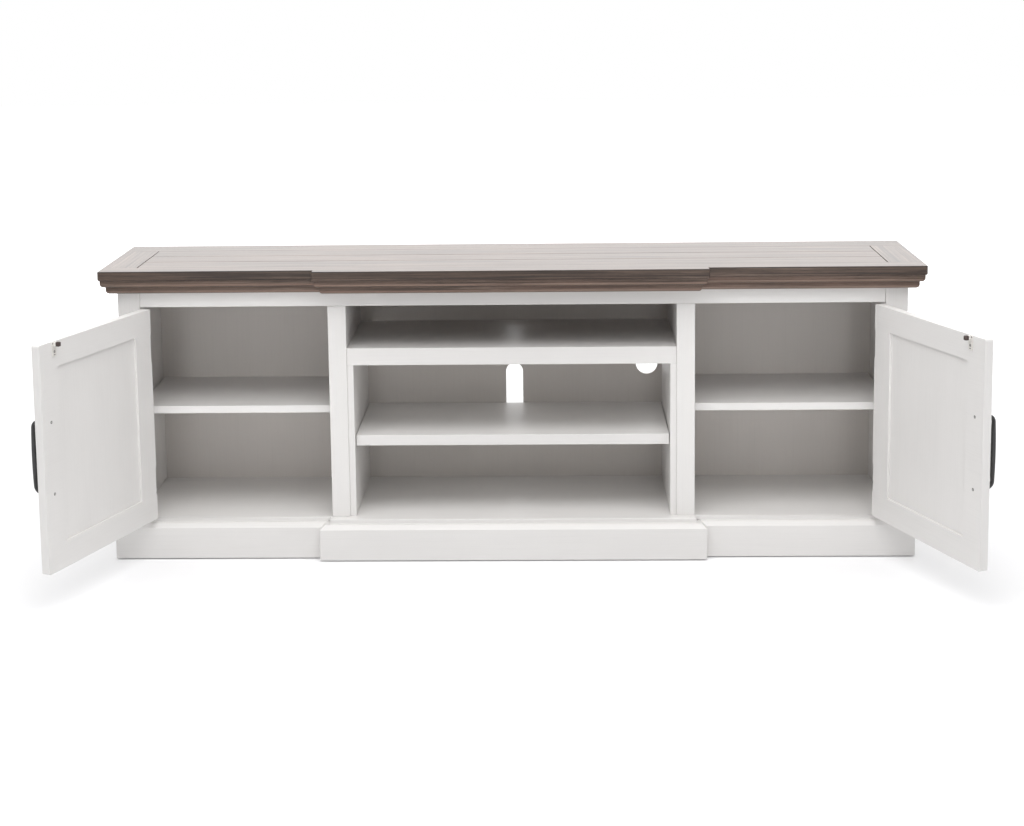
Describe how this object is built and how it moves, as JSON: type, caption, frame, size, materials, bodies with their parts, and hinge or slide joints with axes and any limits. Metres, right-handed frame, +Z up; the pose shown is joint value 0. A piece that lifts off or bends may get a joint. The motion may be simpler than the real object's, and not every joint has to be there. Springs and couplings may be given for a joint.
{
  "type": "media console",
  "caption": "Wide breakfront media console: moulded brown wooden top, white case with open centre shelves, framed hinged doors at both ends and cable openings in the back.",
  "frame": {"origin": "on the floor under the middle of the case, on the underside of the base rail that runs from front to back", "axes": "+X to the right of someone facing the front, +Y towards the back, +Z up; the front faces -Y"},
  "size_m": [2.0875, 0.7783, 0.702],
  "materials": {
    "white_paint": "satin off-white paint on wood",
    "white_back_panel": "satin off-white paint on a thin panel",
    "brown_wood": "weathered grey-brown stain with open grain, satin",
    "black_metal": "satin black powder coat",
    "hinge_metal": "satin nickel plated steel",
    "catch_nylon": "off-white nylon"
  },
  "bodies": {
    "case": {"top_front_board": "brown_wood", "top_back_board": "brown_wood", "top_field": "brown_wood", "top_end_board_left": "brown_wood", "top_end_board_right": "brown_wood", "cornice_front_left": "brown_wood", "cornice_front_right": "brown_wood", "cornice_end_left": "brown_wood", "cornice_end_right": "brown_wood", "cornice_centre": "brown_wood", "plinth_front_left": "white_paint", "plinth_front_right": "white_paint", "plinth_end_left": "white_paint", "plinth_end_right": "white_paint", "plinth_centre": "white_paint", "bottom_panel": "white_paint", "base_rail": "white_paint", "header_rail": "white_paint", "front_post_left": "white_paint", "front_post_right": "white_paint", "back_post_left": "white_paint", "back_post_right": "white_paint", "side_panel_left": "white_paint", "side_panel_right": "white_paint", "partition_left": "white_paint", "partition_right": "white_paint", "pilaster_left": "white_paint", "pilaster_right": "white_paint", "inner_upright_left": "white_paint", "inner_upright_right": "white_paint", "back_panel": "white_back_panel", "top_shelf": "white_paint", "top_shelf_rail": "white_paint", "middle_shelf": "white_paint", "side_shelf_left": "white_paint", "side_shelf_right": "white_paint", "hinge_case_leaf_lower_left": "hinge_metal", "hinge_case_leaf_upper_left": "hinge_metal", "hinge_case_leaf_lower_right": "hinge_metal", "hinge_case_leaf_upper_right": "hinge_metal", "catch_jaw_left": "catch_nylon", "catch_jaw_right": "catch_nylon"},
    "door_left": {"door_hinge_stile_left": "white_paint", "door_lock_stile_left": "white_paint", "door_top_rail_left": "white_paint", "door_bottom_rail_left": "white_paint", "door_panel_left": "white_paint", "handle_left": "black_metal", "catch_strike_left": "catch_nylon", "hinge_door_leaf_lower_left": "hinge_metal", "hinge_door_leaf_upper_left": "hinge_metal"},
    "door_right": {"door_hinge_stile_right": "white_paint", "door_lock_stile_right": "white_paint", "door_top_rail_right": "white_paint", "door_bottom_rail_right": "white_paint", "door_panel_right": "white_paint", "handle_right": "black_metal", "catch_strike_right": "catch_nylon", "hinge_door_leaf_lower_right": "hinge_metal", "hinge_door_leaf_upper_right": "hinge_metal"}
  },
  "joints": [
    {"name": "door_left_swing", "type": "hinge", "parent": "case", "child": "door_left", "pos_m": [-0.8745, -0.1805, 0.3542], "axis": [0, 0, 1], "range_deg": [-55, 109.7]},
    {"name": "door_right_swing", "type": "hinge", "parent": "case", "child": "door_right", "pos_m": [0.8745, -0.1805, 0.3542], "axis": [0, 0, -1], "range_deg": [-54, 111.2]}
  ]
}
